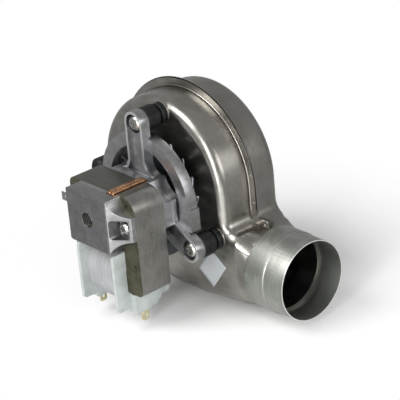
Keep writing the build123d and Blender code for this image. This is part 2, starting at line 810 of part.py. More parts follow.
# Front bracket: hollow bearing block and an ear each side, sloped back and hollowed for its screw
with BuildPart() as front_bracket:
    with BuildSketch(across(stack_front_y)) as footprint:
        bracket_outline()
        fillet(footprint.vertices().group_by(Axis.Y)[0].sort_by(Axis.X)[0], block_corner)
    extrude(amount=block_depth)
    with BuildSketch(Plane.XY.offset(block_bottom)):
        for side in (1, -1):
            with BuildLine():
                Polyline(
                    (side * block_half_width, block_front_y),
                    (side * frame_half_width, block_front_y),
                    (side * frame_half_width, plate_front_y - ear_step),
                    (side * block_half_width, block_front_y + ear_step),
                    close=True,
                )
            make_face()
    extrude(amount=frame_half_height - block_bottom, mode=Mode.SUBTRACT)
    with BuildSketch(across(plate_front_y)):
        for place in bolt_places:
            with Locations(place):
                RectangleRounded(ear_hollow, ear_top - ear_bottom - 2 * ear_rim, ear_hollow_corner)
    extrude(amount=block_depth, mode=Mode.SUBTRACT)
    with BuildSketch(across(stack_front_y)):
        with Locations((0, (frame_half_height + block_bottom) / 2)):
            Rectangle(
                2 * (block_half_width - block_wall),
                frame_half_height - block_bottom - 2 * block_wall,
            )
    extrude(amount=block_depth - block_wall, mode=Mode.SUBTRACT)
    rod(bush_radius + boss_wall, block_front_y + block_wall / 2, front_bush_end - retainer_set_back)
    rod(bush_radius, front_bush_start, front_bush_end, mode=Mode.SUBTRACT)
    rod(shaft_window, block_front_y, front_bush_end, mode=Mode.SUBTRACT)
    strap_relief(stack_front_y, stack_front_y - strap_room)
    for place in bolt_places:
        rod(bolt_radius + bolt_clearance, plate_front_y, stack_front_y, place, mode=Mode.SUBTRACT)
    with BuildSketch(Plane.XY.offset(earth_level - earth_width / 2)):
        with BuildLine():
            Polyline(
                (-block_half_width, block_front_y),
                (-block_half_width - earth_room, block_front_y),
                (-block_half_width - earth_room, tab_y + blade_sheet),
                (-block_half_width - blade_sheet, tab_y + blade_sheet),
                (-block_half_width - blade_sheet, tab_y + earth_foot),
                (-block_half_width, tab_y + earth_foot),
                close=True,
            )
        make_face()
    extrude(amount=earth_width, mode=Mode.SUBTRACT)
front_bracket.part.label = "front_bracket"

# Rear bracket: three channel arms, the ring they cross, and the hollow body behind the frame
with BuildPart() as rear_bracket:
    with BuildSketch(mode=Mode.PRIVATE) as arm:
        flare_width = arm_radius + arm_flare
        flare_end = frame_half_height + 1.5 * arm_flare
        with BuildLine():
            Line((0, 0), (frame_half_height, flare_width))
            ThreePointArc(
                (frame_half_height, flare_width),
                (frame_half_height + 0.35 * arm_flare, arm_radius + 0.4 * arm_flare),
                (flare_end, arm_radius),
            )
            Line((flare_end, arm_radius), (mount_radius, arm_radius))
            ThreePointArc(
                (mount_radius, arm_radius), (mount_radius + arm_radius, 0), (mount_radius, -arm_radius)
            )
            Line((mount_radius, -arm_radius), (flare_end, -arm_radius))
            ThreePointArc(
                (flare_end, -arm_radius),
                (frame_half_height + 0.35 * arm_flare, -arm_radius - 0.4 * arm_flare),
                (frame_half_height, -flare_width),
            )
            Line((frame_half_height, -flare_width), (0, 0))
        make_face()
    with BuildSketch(mode=Mode.PRIVATE) as channel:
        add(arm.sketch)
        offset(amount=-arm_wall, mode=Mode.REPLACE)
    with BuildSketch(across(arm_back_y)):
        with PolarLocations(0, 3, start_angle=mount_angles[0]):
            add(arm.sketch)
    extrude(amount=arm_depth)
    with BuildSketch(across(arm_front_y)):
        with PolarLocations(0, 3, start_angle=mount_angles[0]):
            add(channel.sketch)
    extrude(amount=-arm_rise, mode=Mode.SUBTRACT)
    with BuildSketch(Plane.XY):
        with BuildLine():
            rim_end = frame_half_height + arm_run_out
            Polyline(
                (frame_half_height, arm_floor_y),
                (0, arm_floor_y),
                (0, arm_front_y - 1),
                (rim_end, arm_front_y - 1),
                (rim_end, arm_front_y),
            )
            ThreePointArc(
                (rim_end, arm_front_y),
                (frame_half_height + 0.34 * arm_run_out, arm_floor_y - 0.72 * arm_rise),
                (frame_half_height, arm_floor_y),
            )
        make_face()
    revolve(axis=Axis.Y, mode=Mode.SUBTRACT)
    for place in mount_places:
        rod(rubber_neck_radius, arm_front_y, arm_back_y, place, mode=Mode.SUBTRACT)
    with BuildSketch(across(ring_back_y)):
        Circle(ring_outer)
        Circle(ring_inner, mode=Mode.SUBTRACT)
    extrude(amount=ring_depth)
    with BuildSketch(across(ring_back_y)):
        lug_start = (ring_inner + ring_outer) / 2
        with Locations(((lug_start + lug_reach) / 2, (lug_top + lug_bottom) / 2)):
            Rectangle(lug_reach - lug_start, lug_top - lug_bottom)
        with Locations((lug_reach, lug_top - lug_notch / 2)):
            Rectangle(2 * lug_notch, lug_notch, mode=Mode.SUBTRACT)
    extrude(amount=ring_depth)
    with BuildSketch(across(arm_back_y)):
        bracket_outline()
    extrude(amount=arm_back_y - stack_back_y)
    with BuildSketch(across(ring_front_y)):
        bracket_outline()
        offset(amount=-body_wall, mode=Mode.REPLACE)
    extrude(amount=body_depth, mode=Mode.SUBTRACT)
    rod(bush_radius + boss_wall, rear_bush_start + retainer_set_back, ring_front_y + web)
    rod(bush_radius, rear_bush_start, rear_bush_end, mode=Mode.SUBTRACT)
    rod(shaft_window, rear_bush_start, arm_back_y, mode=Mode.SUBTRACT)
    strap_relief(stack_back_y + strap_room, stack_back_y)
    for place in bolt_places:
        rod(2 * bolt_radius, stack_back_y, ring_front_y + web, place)
        rod(bolt_radius, stack_back_y, ring_front_y, place, mode=Mode.SUBTRACT)
rear_bracket.part.label = "rear_bracket"

# Long screws that clamp both brackets on the frame
with BuildPart() as bracket_screws:
    for place in bolt_places:
        turn(
            [
                (0, plate_front_y - bolt_head_height),
                (bolt_head_radius * 0.7, plate_front_y - bolt_head_height),
                (bolt_head_radius, plate_front_y - bolt_head_height / 2),
                (bolt_head_radius, plate_front_y),
                (bolt_radius, plate_front_y),
                (bolt_radius, ring_front_y),
                (0, ring_front_y),
            ],
            place,
        )
    with BuildSketch(across(plate_front_y - bolt_head_height)):
        for place in bolt_places:
            with Locations(place):
                Rectangle(bolt_head_radius, recess_width)
                Rectangle(recess_width, bolt_head_radius)
    extrude(amount=-recess_depth, mode=Mode.SUBTRACT)
bracket_screws.part.label = "bracket_screws"

# Earth blade, bent from a foot on the block's left side
with BuildPart() as earth_tab:
    with BuildSketch(Plane.XY.offset(earth_level - earth_width / 2)):
        with BuildLine():
            Polyline(
                (-block_half_width, tab_y),
                (-block_half_width - earth_reach, tab_y),
                (-block_half_width - earth_reach, tab_y + blade_sheet),
                (-block_half_width - blade_sheet, tab_y + blade_sheet),
                (-block_half_width - blade_sheet, tab_y + earth_foot),
                (-block_half_width, tab_y + earth_foot),
                close=True,
            )
        make_face()
    extrude(amount=earth_width)
    with BuildSketch(across(tab_y)):
        with Locations((-block_half_width - earth_reach * 0.55, earth_level)):
            Circle(blade_hole)
    extrude(amount=-blade_sheet, mode=Mode.SUBTRACT)
earth_tab.part.label = "earth_tab"

# Sintered bushes, their oil felts and the spring plates that hold them
with BuildPart() as front_bearing:
    tube(bush_radius, shaft_radius + shaft_fit, front_bush_start, front_bush_end)
    chamfer(front_bearing.edges().filter_by(GeomType.CIRCLE).group_by(SortBy.RADIUS)[-1], bush_chamfer)
front_bearing.part.label = "front_bearing"

with BuildPart() as rear_bearing:
    tube(bush_radius, shaft_radius + shaft_fit, rear_bush_start, rear_bush_end)
    chamfer(rear_bearing.edges().filter_by(GeomType.CIRCLE).group_by(SortBy.RADIUS)[-1], bush_chamfer)
rear_bearing.part.label = "rear_bearing"


def spring_plate(start, stop):
    """Thin retainer disc with six fingers round the bush."""
    with BuildSketch(across(start)) as disc:
        Circle(retainer_radius)
        Circle(shaft_radius + 1.2, mode=Mode.SUBTRACT)
        with PolarLocations(retainer_radius, 6):
            Rectangle(5.0, 1.2, mode=Mode.SUBTRACT)
    extrude(disc.sketch, amount=start - stop)


with BuildPart() as front_retainer:
    spring_plate(front_bush_end, front_bush_end + retainer_sheet)
front_retainer.part.label = "front_retainer"

with BuildPart() as rear_retainer:
    spring_plate(rear_bush_start, rear_bush_start - retainer_sheet)
rear_retainer.part.label = "rear_retainer"

with BuildPart() as front_felt:
    felt_start = front_bush_end + retainer_sheet
    tube(retainer_radius - 1.0, washer_radius + 0.4, felt_start, felt_start + felt_thickness)
front_felt.part.label = "front_felt"

with BuildPart() as rear_felt:
    felt_stop = rear_bush_start - retainer_sheet
    tube(retainer_radius - 1.0, washer_radius + 0.4, felt_stop - felt_thickness, felt_stop)
rear_felt.part.label = "rear_felt"

# Shaft with a seat for the impeller's hub and a threaded end
with BuildPart() as shaft:
    turn(
        [
            (0, shaft_front_y),
            (shaft_radius - 0.5, shaft_front_y),
            (shaft_radius, shaft_front_y + 0.5),
            (shaft_radius, impeller_plate_y - 2.0),
            (hub_seat_radius, impeller_plate_y - 2.0),
            (hub_seat_radius, hub_end_y - 1.0),
            (thread_radius, hub_end_y - 1.0),
            (thread_radius, shaft_end_y - 0.6),
            (thread_radius - 0.6, shaft_end_y),
            (0, shaft_end_y),
        ]
    )
shaft.part.label = "shaft"

# Thrust washers between the rotor and the bushes
with BuildPart() as thrust_washers:
    tube(washer_radius, shaft_radius, rotor_front_y - washer_sheet, rotor_front_y)
    tube(washer_radius, shaft_radius, rotor_back_y, rotor_back_y + washer_sheet)
thrust_washers.part.label = "thrust_washers"

# Laminated rotor with holes for the cage's bars
bar_circle = rotor_radius - bar_radius - 0.5
with BuildPart() as rotor_core:
    with BuildSketch(across(stack_back_y)):
        Circle(rotor_radius)
        Circle(shaft_radius, mode=Mode.SUBTRACT)
        with PolarLocations(bar_circle, bar_count):
            Circle(bar_radius, mode=Mode.SUBTRACT)
    extrude(amount=stack_depth)
rotor_core.part.label = "rotor_core"

# Cast aluminium cage: bars and the two end rings
with BuildPart() as rotor_cage:
    for start, stop in ((rotor_front_y, stack_front_y), (stack_back_y, rotor_back_y)):
        tube(rotor_radius - 0.4, shaft_radius, start, stop)
    with BuildSketch(across(stack_back_y)):
        with PolarLocations(bar_circle, bar_count):
            Circle(bar_radius)
    extrude(amount=stack_depth)
rotor_cage.part.label = "rotor_cage"

# Cooling wheel: stamped disc whose blades are twisted out of its plane
with BuildPart() as cooling_wheel:
    with BuildSketch(across(wheel_y + wheel_sheet / 2)):
        Circle(wheel_disc)
        Circle(wheel_hub - 1.0, mode=Mode.SUBTRACT)
    extrude(amount=wheel_sheet)
    for number in range(wheel_blades):
        angle = tau * number / wheel_blades
        outward = Vector(cos(angle), 0, sin(angle))
        aside = Vector(-sin(angle), 0, cos(angle))
        lean = radians(wheel_tilt)
        facing = Vector(0, -1, 0) * cos(lean) + aside * sin(lean)
        root_half = 0.38 * tau * wheel_disc / wheel_blades
        tip_half = 0.40 * tau * wheel_radius / wheel_blades
        with BuildSketch(Plane((0, wheel_y, 0), x_dir=outward, z_dir=facing)):
            with BuildLine():
                Polyline(
                    (wheel_disc - 2.0, -root_half),
                    (wheel_radius - 1.0, -tip_half),
                    (wheel_radius, -tip_half + 1.5),
                    (wheel_radius, tip_half - 1.5),
                    (wheel_radius - 1.0, tip_half),
                    (wheel_disc - 2.0, root_half),
                    close=True,
                )
            make_face()
        extrude(amount=wheel_sheet / 2, both=True)
cooling_wheel.part.label = "cooling_wheel"

# Turned hub that presses the wheel on the shaft
with BuildPart() as cooling_hub:
    hub_start = wheel_y - wheel_sheet / 2 - 1.6
    turn(
        [
            (shaft_radius, hub_start),
            (wheel_hub + 2.0, hub_start),
            (wheel_hub + 2.0, wheel_y - wheel_sheet / 2),
            (wheel_hub - 1.0, wheel_y - wheel_sheet / 2),
            (wheel_hub - 1.0, hub_start + wheel_hub_length),
            (shaft_radius, hub_start + wheel_hub_length),
        ]
    )
cooling_hub.part.label = "cooling_hub"

# Impeller: back plate, forward-curved blades, inlet ring, hub and nut
with BuildPart() as impeller_plate:
    with BuildSketch(across(impeller_plate_y)):
        Circle(impeller_radius)
        Circle(impeller_hub_radius, mode=Mode.SUBTRACT)
    extrude(amount=-impeller_sheet)
impeller_plate.part.label = "impeller_plate"

with BuildPart() as impeller_blades:
    blade_start = impeller_plate_y + impeller_sheet
    with BuildSketch(mode=Mode.PRIVATE) as one_blade:
        with BuildLine():
            blade_outer = impeller_radius - 1.0
            chord = blade_outer - impeller_inner
            curve = ThreePointArc(
                (impeller_inner, 0),
                (impeller_inner + 0.45 * chord, 0.10 * chord),
                (blade_outer - 0.2, 0.52 * chord),
            )
            offset(curve, amount=impeller_sheet / 2)
        make_face()
    with BuildSketch(across(blade_start)):
        with PolarLocations(0, impeller_blade_count):
            add(one_blade.sketch)
    extrude(amount=blade_start - impeller_ring_y)
impeller_blades.part.label = "impeller_blades"

with BuildPart() as impeller_ring:
    with BuildSketch(across(impeller_ring_y)):
        Circle(impeller_radius)
        Circle(impeller_eye, mode=Mode.SUBTRACT)
    extrude(amount=-impeller_sheet)
impeller_ring.part.label = "impeller_ring"

with BuildPart() as impeller_hub:
    turn(
        [
            (hub_seat_radius, impeller_plate_y - 2.0),
            (impeller_flange_radius, impeller_plate_y - 2.0),
            (impeller_flange_radius, impeller_plate_y),
            (impeller_hub_radius, impeller_plate_y),
            (impeller_hub_radius, hub_end_y - 1.5),
            (impeller_hub_radius - 1.5, hub_end_y),
            (hub_seat_radius, hub_end_y),
        ]
    )
impeller_hub.part.label = "impeller_hub"

with BuildPart() as impeller_nut:
    with BuildSketch(across(hub_end_y)):
        RegularPolygon(impeller_nut_flats / 2, 6, major_radius=False)
        Circle(thread_radius, mode=Mode.SUBTRACT)
    extrude(amount=-impeller_nut_height)
impeller_nut.part.label = "impeller_nut"

# Pressure tapping on the scroll's face and its rubber cap
with BuildPart() as pressure_tap:
    tap_place = (tap_across, tap_level)
    turn(
        [
            (tap_bore, face_y),
            (2 * tap_radius, face_y),
            (2 * tap_radius, face_y - 1.0),
            (tap_radius, face_y - 1.0),
            (tap_radius, face_y - tap_length),
            (tap_bore, face_y - tap_length),
        ],
        tap_place,
    )
pressure_tap.part.label = "pressure_tap"

with BuildPart() as tap_cap:
    cap_end_y = face_y - 1.0 - cap_length
    turn(
        [
            (0, cap_end_y),
            (cap_radius - 2.0, cap_end_y),
            (cap_radius, cap_end_y + 2.0),
            (cap_radius, face_y - 1.0),
            (tap_radius, face_y - 1.0),
            (tap_radius, face_y - tap_length - cap_wall / 2),
            (0, face_y - tap_length - cap_wall / 2),
        ],
        tap_place,
    )
tap_cap.part.label = "tap_cap"

export_step(front_shell.part, "parts/front_shell.step")
export_step(rear_shell.part, "parts/rear_shell.step")
export_step(outlet_collar.part, "parts/outlet_collar.step")
export_step(rear_nuts.part, "parts/rear_nuts.step")
export_step(mount_nuts.part, "parts/mount_nuts.step")
export_step(mount_screws.part, "parts/mount_screws.step")
export_step(mount_sleeves.part, "parts/mount_sleeves.step")
export_step(mount_grommets.part, "parts/mount_grommets.step")
export_step(rubber_mounts.part, "parts/rubber_mounts.step")
export_step(stator_frame.part, "parts/stator_frame.step")
export_step(coil_core.part, "parts/coil_core.step")
export_step(shading_rings.part, "parts/shading_rings.step")
export_step(bobbin.part, "parts/bobbin.step")
export_step(winding.part, "parts/winding.step")
export_step(coil_tape.part, "parts/coil_tape.step")
export_step(terminals.part, "parts/terminals.step")
export_step(front_bracket.part, "parts/front_bracket.step")
export_step(rear_bracket.part, "parts/rear_bracket.step")
export_step(bracket_screws.part, "parts/bracket_screws.step")
export_step(earth_tab.part, "parts/earth_tab.step")
export_step(front_bearing.part, "parts/front_bearing.step")
export_step(rear_bearing.part, "parts/rear_bearing.step")
export_step(front_retainer.part, "parts/front_retainer.step")
export_step(rear_retainer.part, "parts/rear_retainer.step")
export_step(front_felt.part, "parts/front_felt.step")
export_step(rear_felt.part, "parts/rear_felt.step")
export_step(shaft.part, "parts/shaft.step")
export_step(thrust_washers.part, "parts/thrust_washers.step")
export_step(rotor_core.part, "parts/rotor_core.step")
export_step(rotor_cage.part, "parts/rotor_cage.step")
export_step(cooling_wheel.part, "parts/cooling_wheel.step")
export_step(cooling_hub.part, "parts/cooling_hub.step")
export_step(impeller_plate.part, "parts/impeller_plate.step")
export_step(impeller_blades.part, "parts/impeller_blades.step")
export_step(impeller_ring.part, "parts/impeller_ring.step")
export_step(impeller_hub.part, "parts/impeller_hub.step")
export_step(impeller_nut.part, "parts/impeller_nut.step")
export_step(pressure_tap.part, "parts/pressure_tap.step")
export_step(tap_cap.part, "parts/tap_cap.step")
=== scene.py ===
# %% [markdown]
# # A boiler fan
# A boiler fan pulls the burnt gas out of a gas boiler. An open-frame motor with a coil at its foot
# hangs on three rubber mounts, and its shaft carries a bladed wheel inside a spiral steel housing.
# The exact solids come from a CAD model; this file gives them light, a camera and their finishes,
# and adds the thin details that the CAD model leaves out.

# %% Load the exact solids
import json
import math

import bmesh
import bpy
from mathutils import Matrix, Vector


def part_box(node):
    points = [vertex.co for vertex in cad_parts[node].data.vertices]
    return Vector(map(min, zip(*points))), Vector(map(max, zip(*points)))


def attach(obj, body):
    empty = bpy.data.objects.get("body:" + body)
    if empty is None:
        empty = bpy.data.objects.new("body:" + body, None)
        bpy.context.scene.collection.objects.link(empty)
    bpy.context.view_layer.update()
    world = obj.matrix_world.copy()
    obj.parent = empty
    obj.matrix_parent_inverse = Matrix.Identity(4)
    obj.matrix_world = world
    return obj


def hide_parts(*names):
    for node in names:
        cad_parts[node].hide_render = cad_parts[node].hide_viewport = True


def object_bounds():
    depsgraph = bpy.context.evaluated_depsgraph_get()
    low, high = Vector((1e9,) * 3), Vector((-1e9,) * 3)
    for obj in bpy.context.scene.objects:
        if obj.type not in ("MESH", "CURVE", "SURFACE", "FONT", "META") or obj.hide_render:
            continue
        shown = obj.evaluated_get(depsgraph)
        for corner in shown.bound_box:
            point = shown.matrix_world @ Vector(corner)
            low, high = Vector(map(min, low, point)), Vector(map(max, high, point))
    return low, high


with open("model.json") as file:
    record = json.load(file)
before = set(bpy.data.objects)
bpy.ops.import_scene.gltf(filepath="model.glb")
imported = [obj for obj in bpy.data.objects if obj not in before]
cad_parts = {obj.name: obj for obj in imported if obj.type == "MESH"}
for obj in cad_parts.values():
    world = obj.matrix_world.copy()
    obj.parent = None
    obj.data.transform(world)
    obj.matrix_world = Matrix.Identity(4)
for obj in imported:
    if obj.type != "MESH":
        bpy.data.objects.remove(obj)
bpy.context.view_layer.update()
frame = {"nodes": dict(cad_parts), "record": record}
nodes = frame["nodes"]
MM = 0.001

# %% [markdown]
# ## The camera
# The camera was worked out from the picture: the directions of the shaft, the outlet and the upright
# edges give the lens and the turn, and the usual size of such an outlet gives the distance. A last
# small turn brings the solids' outline nearer to the object's. The roll is kept, because the picture
# isn't level.

# %% Place the camera
LENS_MM = 181.256
SENSOR_MM = 36.0
camera_place = Vector((1.040369, -0.896862, 0.600531))
camera_right = Vector((0.668078, 0.739502, -0.08252))
camera_up = Vector((-0.260941, 0.336696, 0.904735))
camera_back = Vector((0.696838, -0.582901, 0.417905))
camera = bpy.data.objects.new("camera", bpy.data.cameras.new("camera"))
bpy.context.scene.collection.objects.link(camera)
camera.data.lens = LENS_MM
camera.data.sensor_width = SENSOR_MM
camera.data.clip_start = 0.05
camera.data.clip_end = 20.0
turn = Matrix((camera_right, camera_up, camera_back)).transposed()
camera.matrix_world = Matrix.Translation(camera_place) @ turn.to_4x4()
bpy.context.scene.camera = camera
bpy.context.scene.view_settings.view_transform = "Standard"
print("lens in millimetres:", LENS_MM, "distance in metres:", round(camera_place.length, 2))

# %% [markdown]
# ## Shader values as sums
# A pattern is easier to read as a sum than as a tree of nodes. A Wire holds one output of a node, and
# the usual operators on it add Math nodes. The reflected forms let a plain number stand on the left,
# as in 1.0 - mask.


# %% Define a wire
class Wire:
    """One output of a shader node, which can be added to, multiplied and compared."""

    def __init__(self, tree, socket):
        self.tree = tree
        self.socket = socket

    def math(self, operation, *values):
        """Adds a Math node whose first value is this wire."""
        inputs = dict(enumerate((self,) + values))
        return self.tree.node("ShaderNodeMath", {"operation": operation}, inputs)[0]

    def __add__(self, other):
        return self.math("ADD", other)

    __radd__ = __add__

    def __mul__(self, other):
        return self.math("MULTIPLY", other)

    __rmul__ = __mul__

    def __sub__(self, other):
        return self.math("SUBTRACT", other)

    def __rsub__(self, other):
        return (self * -1.0) + other

    def __pow__(self, other):
        return self.math("POWER", other)

    def __gt__(self, other):
        return self.math("GREATER_THAN", other)

    def __lt__(self, other):
        return self.math("LESS_THAN", other)

    def sine(self):
        return self.math("SINE")

    def size(self):
        return self.math("ABSOLUTE")

    def between(self, low, high):
        """0 below low, 1 above high, and a smooth step between them."""
        settings = {"interpolation_type": "SMOOTHSTEP"}
        values = {"Value": self, "From Min": low, "From Max": high}
        return self.tree.node("ShaderNodeMapRange", settings, values)[0]


print("a wire's own methods:", [name for name in vars(Wire) if not name.startswith("_")])

# %% [markdown]
# ## One way to make nodes
# Every other node is made by one method. It takes the node's type, then its settings, then what goes
# into its sockets, which is either a plain value or a wire. The sky and all materials share it.


# %% Define the node maker
class Outputs:
    """The outputs of a node, by number or by name."""

    def __init__(self, tree, made):
        self.tree = tree
        self.made = made

    def __getitem__(self, key):
        return Wire(self.tree, self.made.outputs[key])


class Nodes:
    """A node tree whose nodes all come from one method."""

    def __init__(self, tree):
        self.tree = tree

    def node(self, kind, settings=None, values=None):
        """Adds a node, sets it up, fills its sockets, and returns its outputs as wires."""
        made = self.tree.nodes.new(kind)
        for name, value in (settings or {}).items():
            setattr(made, name, value)
        for name, value in (values or {}).items():
            self.feed(made.inputs[name], value)
        return Outputs(self, made)

    def feed(self, socket, value):
        """Links a wire to a socket, or sets the socket to a plain value."""
        if isinstance(value, Wire):
            self.tree.links.new(value.socket, socket)
        elif socket.type == "RGBA" and len(value) == 3:
            socket.default_value = (*value, 1.0)
        else:
            socket.default_value = value


print("the node maker's methods:", [name for name in vars(Nodes) if not name.startswith("_")])

# %% [markdown]
# ## A finish
# A finish is one material. Its patterns read the object's own coordinates, scaled to millimetres, so
# they stay on the part when it turns, and a size in a pattern is a size on the real fan.


# %% Define a finish
class Finish(Nodes):
    """One material whose patterns read the object's own coordinates, in millimetres."""

    def __init__(self, name):
        self.material = bpy.data.materials.new(name)
        self.material.use_nodes = True
        super().__init__(self.material.node_tree)
        self.shader = self.tree.nodes["Principled BSDF"]
        place = self.node("ShaderNodeTexCoord")["Object"]
        scaled = {0: place, "Scale": 1.0 / MM}
        self.place = self.node("ShaderNodeVectorMath", {"operation": "SCALE"}, scaled)[0]
        parts = self.node("ShaderNodeSeparateXYZ", {}, {0: self.place})
        self.x, self.y, self.z = parts[0], parts[1], parts[2]

    def noise(self, scale, detail=2.0, stretch=(1.0, 1.0, 1.0), distortion=0.0):
        """Cloudy noise with so many lumps per millimetre, drawn out along the axes by stretch."""
        spread = self.node("ShaderNodeVectorMath", {"operation": "MULTIPLY"}, {0: self.place, 1: stretch})[0]
        values = {"Vector": spread, "Scale": scale, "Detail": detail, "Distortion": distortion}
        return self.node("ShaderNodeTexNoise", {}, values)[0]

    def blend(self, factor, low, high):
        """A colour between two colours."""
        return self.node("ShaderNodeMix", {"data_type": "RGBA"}, {0: factor, 6: low, 7: high})[2]

    def bump(self, height, distance, strength=1.0):
        """Turns a height between 0 and 1 into a surface relief of a distance in millimetres."""
        values = {"Height": height, "Distance": distance * MM, "Strength": strength}
        return self.node("ShaderNodeBump", {}, values)[0]

    def surface(self, **sockets):
        """Feeds the surface shader: base_color is its Base Color, and so on."""
        for name, value in sockets.items():
            self.feed(self.shader.inputs[name.replace("_", " ").title().replace("Ior", "IOR")], value)
        return self.material


print("a finish's own methods:", [name for name in vars(Finish) if not name.startswith("_")])

# %% [markdown]
# ## Polished scroll steel
# The scroll is stainless sheet, polished before it is drawn. It mirrors its surroundings softly, with
# long faint scratches from the polishing belt and a few cloudy smudges, so the roughness wanders a
# little. The rear shell is painted darker than the front one, as painted shade, and the tone changes
# at the seam between them.

# %% Make the scroll's finish
SEAM_Y = -28.0
finishes = {}


def keep_finish(name, material):
    """Files a finish under a name and says how many nodes it took."""
    finishes[name] = material
    print(name, "nodes:", len(material.node_tree.nodes))


def scroll_steel():
    """Belt-polished stainless sheet, with painted shade behind the seam."""
    steel = Finish("scroll_steel")
    smudge = steel.noise(0.045, 3.0, distortion=0.6)
    streak = steel.noise(0.5, 2.0, stretch=(0.12, 1.0, 0.5))
    grain = steel.noise(2.2, 2.0)
    clean = steel.blend(smudge.between(0.3, 0.72), (0.255, 0.243, 0.222), (0.36, 0.345, 0.318))
    drawn = steel.blend(streak.between(0.3, 0.8) * 0.35, clean, (0.44, 0.425, 0.395))
    # The rear shell, behind the seam, is painted darker as painted shade.
    rear_painted_shade = steel.y.between(SEAM_Y - 0.5, SEAM_Y + 0.5)
    colour = steel.blend(rear_painted_shade * 0.4, drawn, (0.185, 0.18, 0.165))
    rough = 0.215 + smudge * 0.09 + streak * 0.05 + grain * 0.02
    relief = steel.bump(smudge, 0.05, 0.15)
    return steel.surface(base_color=colour, metallic=1.0, roughness=rough, normal=relief)


keep_finish("scroll_steel", scroll_steel())

# %% [markdown]
# ## Collar steel
# The collar is a rolled strip of plainer steel: lighter, less polished, with marks that run round it.
# Its inside is painted lighter and even in tone, as painted light against the shade in the tube, and
# the cut end is painted bright as a painted highlight. A distance from the collar's axis tells the
# inside from the outside, and a place along it finds the end.

# %% Make the collar's finish
OUTLET_Z = -52.3
INSIDE_RADIUS = 29.6
END_BAND = 0.3
collar_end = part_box("outlet_collar")[1].x / MM


def collar_steel():
    """Rolled steel strip with marks round it, a painted lighter inside and a painted highlight on its cut
    end.
    """
    steel = Finish("collar_steel")
    smudge = steel.noise(0.08, 3.0, distortion=0.4)
    ring_marks = steel.noise(1.1, 3.0, stretch=(1.0, 0.05, 0.05))
    clean = steel.blend(smudge.between(0.3, 0.7), (0.30, 0.31, 0.285), (0.40, 0.41, 0.38))
    marked = steel.blend(ring_marks.between(0.35, 0.7) * 0.45, clean, (0.235, 0.235, 0.215))
    from_axis = ((steel.y - SEAM_Y) ** 2.0 + (steel.z - OUTLET_Z) ** 2.0) ** 0.5
    # The inside is painted lighter and even, as painted light against the shade inside the tube.
    inside_painted_light = steel.blend(from_axis < INSIDE_RADIUS, marked, (0.37, 0.385, 0.355))
    # The cut end is painted near white as a painted highlight.
    colour = steel.blend(steel.x > collar_end - END_BAND, inside_painted_light, (0.88, 0.88, 0.86))
    rough = 0.36 + smudge * 0.10 + ring_marks * 0.12
    relief = steel.bump(ring_marks, 0.02, 0.35)
    return steel.surface(base_color=colour, metallic=1.0, roughness=rough, normal=relief)


keep_finish("collar_steel", collar_steel())

# %% [markdown]
# ## Cast aluminium
# Both brackets are pressure die castings. Their skin is satin and slightly mottled, with a fine grain
# like very fine sand. The front of the motor's block is painted darker than the arms and the ears, as
# painted shade, so the tone changes with the depth along the shaft. The tops of the arms' rims carry a
# painted highlight, nearly white.

# %% Make the castings' finish
BLOCK_DEPTH = -120.0
ARM_RIM = -82.5


def cast_aluminium():
    """Satin die-cast skin, with painted shade on the block's front and a painted highlight on the arms' rims.
    """
    cast = Finish("cast_aluminium")
    mottle = cast.noise(0.12, 4.0, distortion=0.8)
    sand = cast.noise(2.2, 3.0)
    flow = cast.noise(0.35, 3.0, stretch=(1.0, 0.35, 1.0))
    tone = (mottle * 0.5 + flow * 0.3 + sand * 0.2).between(0.32, 0.68)
    cast_tone = cast.blend(tone, (0.29, 0.29, 0.297), (0.41, 0.41, 0.42))
    block_front_shade = cast.blend(tone, (0.22, 0.22, 0.222), (0.31, 0.31, 0.312))
    # The block's front is painted darker as painted shade; the arms and ears keep the plain tone.
    body = cast.blend(cast.y.between(BLOCK_DEPTH - 1.0, BLOCK_DEPTH + 1.0), block_front_shade, cast_tone)
    # A thin band on the arms' rims is painted near white as a painted highlight.
    rim_start = cast.y.between(ARM_RIM - 0.1, ARM_RIM + 0.1)
    rim_end = cast.y.between(ARM_RIM + 0.3, ARM_RIM + 0.6)
    colour = cast.blend(rim_start * (1.0 - rim_end), body, (0.74, 0.74, 0.75))
    rough = 0.27 + mottle * 0.12 + sand * 0.08
    relief = cast.bump(sand * 0.7 + flow * 0.3, 0.05, 0.5)
    return cast.surface(base_color=colour, metallic=1.0, roughness=rough, normal=relief)


keep_finish("cast_aluminium", cast_aluminium())

# %% [markdown]
# ## Laminated steel
# The frame is a pack of half-millimetre sheets. On the cut sides each sheet shows as a faint line, so
# the pattern is a comb along the shaft under a mottled grey. The first sheet's face is dull olive, from
# the oil on blued steel, and has three small punched marks, each a near-black spot of painted shade in
# its hollow. The top of the pack is darker.

# %% Make the laminations' finish
LAMINATION = 0.5
STACK_FRONT = -116.7
STACK_TOP = 19.3
PUNCH_MARK_SHADE = ((27.2, 13.0, 1.0), (29.5, -42.6, 0.7), (28.7, -14.8, 0.6))


